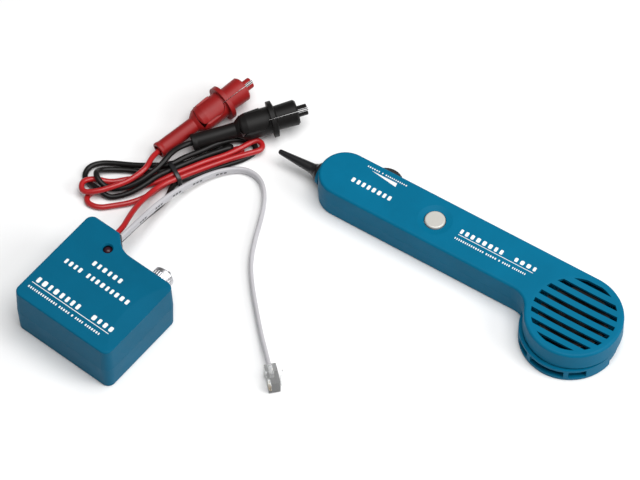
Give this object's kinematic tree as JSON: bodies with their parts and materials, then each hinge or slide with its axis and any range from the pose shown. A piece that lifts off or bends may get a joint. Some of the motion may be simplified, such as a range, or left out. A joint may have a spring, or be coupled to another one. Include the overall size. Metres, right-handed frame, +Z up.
{
  "type": "tone probe kit",
  "caption": "Cable tracing kit: square tone generator with clip leads and a line plug, and a hand probe with round speaker head, thumbwheel and push button",
  "frame": {"origin": "on the surface both instruments lie on, at the middle of the box round the two cases", "axes": "+X along the probe from its tip to its round head, +Y across the probe to its thumbwheel side, +Z up"},
  "size_m": [0.3099, 0.2066, 0.0335],
  "materials": {
    "sender_plastic": "fine satin moulded texture, dark teal blue",
    "receiver_plastic": "fine satin moulded texture, teal blue",
    "battery_jacket": "printed steel jacket",
    "black_plastic": "moulded, satin",
    "tip_plastic": "carbon-filled conductive plastic, satin",
    "foam": "open-cell foam",
    "board": "solder-masked glass-epoxy",
    "led_lens": "tinted diffused lens",
    "steel": "zinc plated",
    "chrome": "bright nickel-chrome plating",
    "satin_metal": "satin silver",
    "grommet_rubber": "moulded, matt",
    "red_vinyl": "soft vinyl, semi-gloss",
    "black_vinyl": "soft vinyl, semi-gloss",
    "line_cable_jacket": "extruded vinyl, pale silver grey",
    "clear_plastic": "clear polycarbonate",
    "gold_contact": "gold flashed",
    "speaker_paper": "pressed paper cone"
  },
  "bodies": {
    "sender": {"black_clip_fixed_half": "black_vinyl", "black_clip_fixed_jaw": "steel", "black_clip_lead": "black_vinyl", "black_clip_pin": "steel", "black_clip_spring": "steel", "black_lead": "black_vinyl", "cable_grommet": "grommet_rubber", "hank_tie": "black_plastic", "lead_hank": "black_vinyl", "line_cable": "line_cable_jacket", "line_plug_body": "clear_plastic", "line_plug_contacts": "gold_contact", "red_clip_fixed_half": "red_vinyl", "red_clip_fixed_jaw": "steel", "red_clip_lead": "red_vinyl", "red_clip_pin": "steel", "red_clip_spring": "steel", "red_lead": "red_vinyl", "sender_battery": "battery_jacket", "sender_battery_door": "sender_plastic", "sender_battery_pad": "foam", "sender_battery_snap": "black_plastic", "sender_board_components": "black_plastic", "sender_case_screws": "steel", "sender_circuit_board": "board", "sender_lower_case": "sender_plastic", "sender_status_led": "led_lens", "sender_upper_case": "sender_plastic", "switch_body": "black_plastic", "switch_bushing": "chrome", "switch_dress_nut": "chrome"},
    "receiver": {"button_switch": "black_plastic", "probe_tip": "tip_plastic", "receiver_battery": "battery_jacket", "receiver_battery_door": "receiver_plastic", "receiver_battery_snap": "black_plastic", "receiver_board_components": "black_plastic", "receiver_case_screws": "steel", "receiver_circuit_board": "board", "receiver_lower_shell": "receiver_plastic", "receiver_upper_shell": "receiver_plastic", "speaker_cone": "speaker_paper", "speaker_frame": "steel", "speaker_magnet": "black_plastic", "tip_collar": "receiver_plastic", "tip_contact": "steel", "volume_pot_body": "black_plastic"},
    "push_button": {"push_button": "satin_metal"},
    "volume_wheel": {"volume_wheel": "black_plastic"},
    "switch_lever": {"switch_lever": "chrome"},
    "red_clip_lever": {"red_clip_lever": "red_vinyl", "red_clip_moving_jaw": "steel"},
    "black_clip_lever": {"black_clip_lever": "black_vinyl", "black_clip_moving_jaw": "steel"},
    "line_plug_latch": {"line_plug_latch": "clear_plastic"}
  },
  "joints": [
    {"name": "receiver_lift", "type": "slide", "parent": "sender", "child": "receiver", "axis": [0, 0, 1], "range_m": [0, 0.06]},
    {"name": "push_button_press", "type": "slide", "parent": "receiver", "child": "push_button", "axis": [0, 0, -1], "range_m": [0, 0.001], "stiffness_N_per_m": 900, "springref_m": -0.0015},
    {"name": "volume_wheel_turn", "type": "hinge", "parent": "receiver", "child": "volume_wheel", "pos_m": [-0.0173, 0.0862, 0.0182], "axis": [0, 0, 1], "range_deg": [0, 270]},
    {"name": "mode_switch_throw", "type": "hinge", "parent": "sender", "child": "switch_lever", "pos_m": [-0.08461, -0.03655, 0.0225], "axis": [0.9947, -0.1028, 0], "range_deg": [0, 26]},
    {"name": "red_clip_open", "type": "hinge", "parent": "sender", "child": "red_clip_lever", "pos_m": [-0.12812, 0.08217, 0.01009], "axis": [0.4553, -0.22, 0.8627], "range_deg": [0, 20], "stiffness_Nm_per_rad": 0.5, "springref_deg": -20.05},
    {"name": "black_clip_open", "type": "hinge", "parent": "sender", "child": "black_clip_lever", "pos_m": [-0.10057, 0.08817, 0.01143], "axis": [0.3783, -0.4382, 0.8154], "range_deg": [0, 20], "stiffness_Nm_per_rad": 0.5, "springref_deg": -20.05},
    {"name": "line_plug_latch_flex", "type": "hinge", "parent": "sender", "child": "line_plug_latch", "pos_m": [0.00021, -0.04645, 0.00483], "axis": [0, 0, 1], "range_deg": [0, 10], "stiffness_Nm_per_rad": 0.05, "springref_deg": -5.73}
  ]
}
